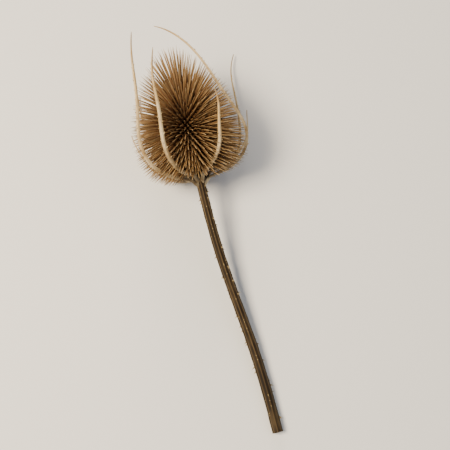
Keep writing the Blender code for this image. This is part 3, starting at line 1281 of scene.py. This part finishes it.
@dataclass(frozen=True)
class SoftBox:
    """A large soft studio light that faces the head."""

    name: str
    azimuth: float
    elevation: float
    distance: float
    size: float
    power: float
    colour: str

    def hang(self, target: Vector) -> None:
        """Hangs the light and turns it to the object.

        Args:
            target: The point that it faces.
        """
        data = bpy.data.lights.new(self.name, "AREA")
        data.size = self.size
        data.energy = self.power
        data.color = linear(self.colour)[:3]
        made = bpy.data.objects.new(self.name, data)
        away = heading(math.radians(self.azimuth), math.radians(self.elevation))
        made.location = target + away * self.distance
        made.rotation_euler = (-away).to_track_quat("-Z", "Y").to_euler()
        bpy.context.scene.collection.objects.link(made)


@dataclass
class Studio:
    """A pale floor, soft light and the camera that looks down on the object."""

    floor_size: float = 3
    floor_colour: str = "#e6e2da"
    floor_roughness: float = 0.7
    world_colour: str = "#dfe6ee"
    world_strength: float = 0.32
    camera_azimuth: float = -17
    camera_elevation: float = 76
    lens: float = 60
    sensor: float = 36
    frame_height: float = 0.226
    aim_height: float = 0.5
    lights: tuple[SoftBox, ...] = (
        SoftBox("key", -80, 58, 0.9, 0.35, 18, "#fff0d8"),
        SoftBox("fill", 110, 50, 1.1, 0.9, 3.5, "#dfe8ff"),
        SoftBox("back", 10, 22, 1.0, 0.4, 5, "#fff4e4"),
    )

    def build_floor(self) -> None:
        """The floor, which isn't part of the object."""
        mesh = bmesh.new()
        bmesh.ops.create_grid(mesh, x_segments=1, y_segments=1, size=self.floor_size / 2)
        data = bpy.data.meshes.new("floor")
        mesh.to_mesh(data)
        mesh.free()
        painted = bpy.data.materials.new("matt_floor_paint")
        painted.use_nodes = True
        shader = painted.node_tree.nodes["Principled BSDF"]
        shader.inputs["Base Color"].default_value = linear(self.floor_colour)
        shader.inputs["Roughness"].default_value = self.floor_roughness
        data.materials.append(painted)
        floor = bpy.data.objects.new("floor", data)
        bpy.context.scene.collection.objects.link(floor)
        floor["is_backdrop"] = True

    def build_lights(self, target: Vector) -> None:
        """Hangs the lights in a pale world.

        Args:
            target: The point that they face.
        """
        for light in self.lights:
            light.hang(target)
        world = bpy.data.worlds.new("studio")
        world.use_nodes = True
        background = world.node_tree.nodes["Background"]
        background.inputs["Color"].default_value = linear(self.world_colour)
        background.inputs["Strength"].default_value = self.world_strength
        bpy.context.scene.world = world

    def build_camera(self, target: Vector) -> None:
        """Sets the camera at the photograph's angle, with the whole object in its frame.

        Args:
            target: The point that it looks at.
        """
        data = bpy.data.cameras.new("camera")
        data.lens = self.lens
        data.sensor_width = self.sensor
        camera = bpy.data.objects.new("camera", data)
        look = heading(math.radians(-self.camera_azimuth), math.radians(-self.camera_elevation))
        camera.location = target - look * (self.frame_height * self.lens / self.sensor)
        camera.rotation_euler = look.to_track_quat("-Z", "Y").to_euler()
        bpy.context.scene.collection.objects.link(camera)
        bpy.context.scene.camera = camera

    def build(self, low: Vector, high: Vector) -> None:
        """Builds the studio round the object.

        Args:
            low: The object's lowest corner.
            high: The object's highest corner.
        """
        middle = (low + high) / 2
        target = Vector((middle.x, middle.y, self.aim_height * middle.z))
        self.build_floor()
        self.build_lights(target)
        self.build_camera(target)


def bract_whorl(axes: HeadAxes, stem: Stem) -> list[Bract]:
    """Sets out the whorl.

    Args:
        axes: The head's directions.
        stem: The stem that the bracts spring from.

    Returns:
        The nine bracts.
    """
    # Ring, azimuth, length, heading it leaves with, heading it bends to, curl, drift and twist
    courses = (
        (Ring.LOW, 148, 92 * MM, 14, 100, 4, -4, 75),
        (Ring.LOW, 10, 108 * MM, 8, 110, 42, 32, -60),
        (Ring.HIGH, 118, 80 * MM, 9, 99, 8, -8, 35),
        (Ring.LOW, 322, 88 * MM, 4, 78, -24, -8, -40),
        (Ring.LOW, 234, 74 * MM, 2, 74, 6, 10, 30),
        (Ring.HIGH, 64, 52 * MM, 16, 100, 14, -12, -35),
        (Ring.HIGH, 196, 42 * MM, 14, 90, -8, 6, 30),
        (Ring.HIGH, 282, 36 * MM, -2, 50, 0, 4, 20),
        (Ring.HIGH, 352, 44 * MM, 12, 84, -16, -8, -30),
    )
    return [Bract(axes, stem, i + 1, *course) for i, course in enumerate(courses)]


def write_size(packed: tuple[Vector, Vector]) -> None:
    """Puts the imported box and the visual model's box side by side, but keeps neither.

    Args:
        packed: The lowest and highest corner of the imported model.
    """
    boxes = {"cad": packed, "visual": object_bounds()}
    {name: [list(corner) for corner in box] for name, box in boxes.items()}


def main() -> None:
    """Builds the head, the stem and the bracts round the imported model, and the studio."""
    logging.basicConfig(level=logging.INFO, format="%(name)s: %(message)s")
    for thing in list(bpy.data.objects):
        bpy.data.objects.remove(thing)
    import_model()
    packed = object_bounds()
    axes, finishes = HeadAxes(), Finishes()
    stem = Stem(axes)
    bracts = bract_whorl(axes, stem)
    thicket = Thicket([bract.centres() for bract in bracts])
    pieces = stem.build(finishes)
    pieces += [bract.build_blade(finishes) for bract in bracts]
    pieces += SeedHead(axes, thicket).build(finishes)
    log.info("%d pieces in all", len(pieces))
    Studio().build(*packed)
    write_size(packed)


if __name__ == "__main__":
    main()
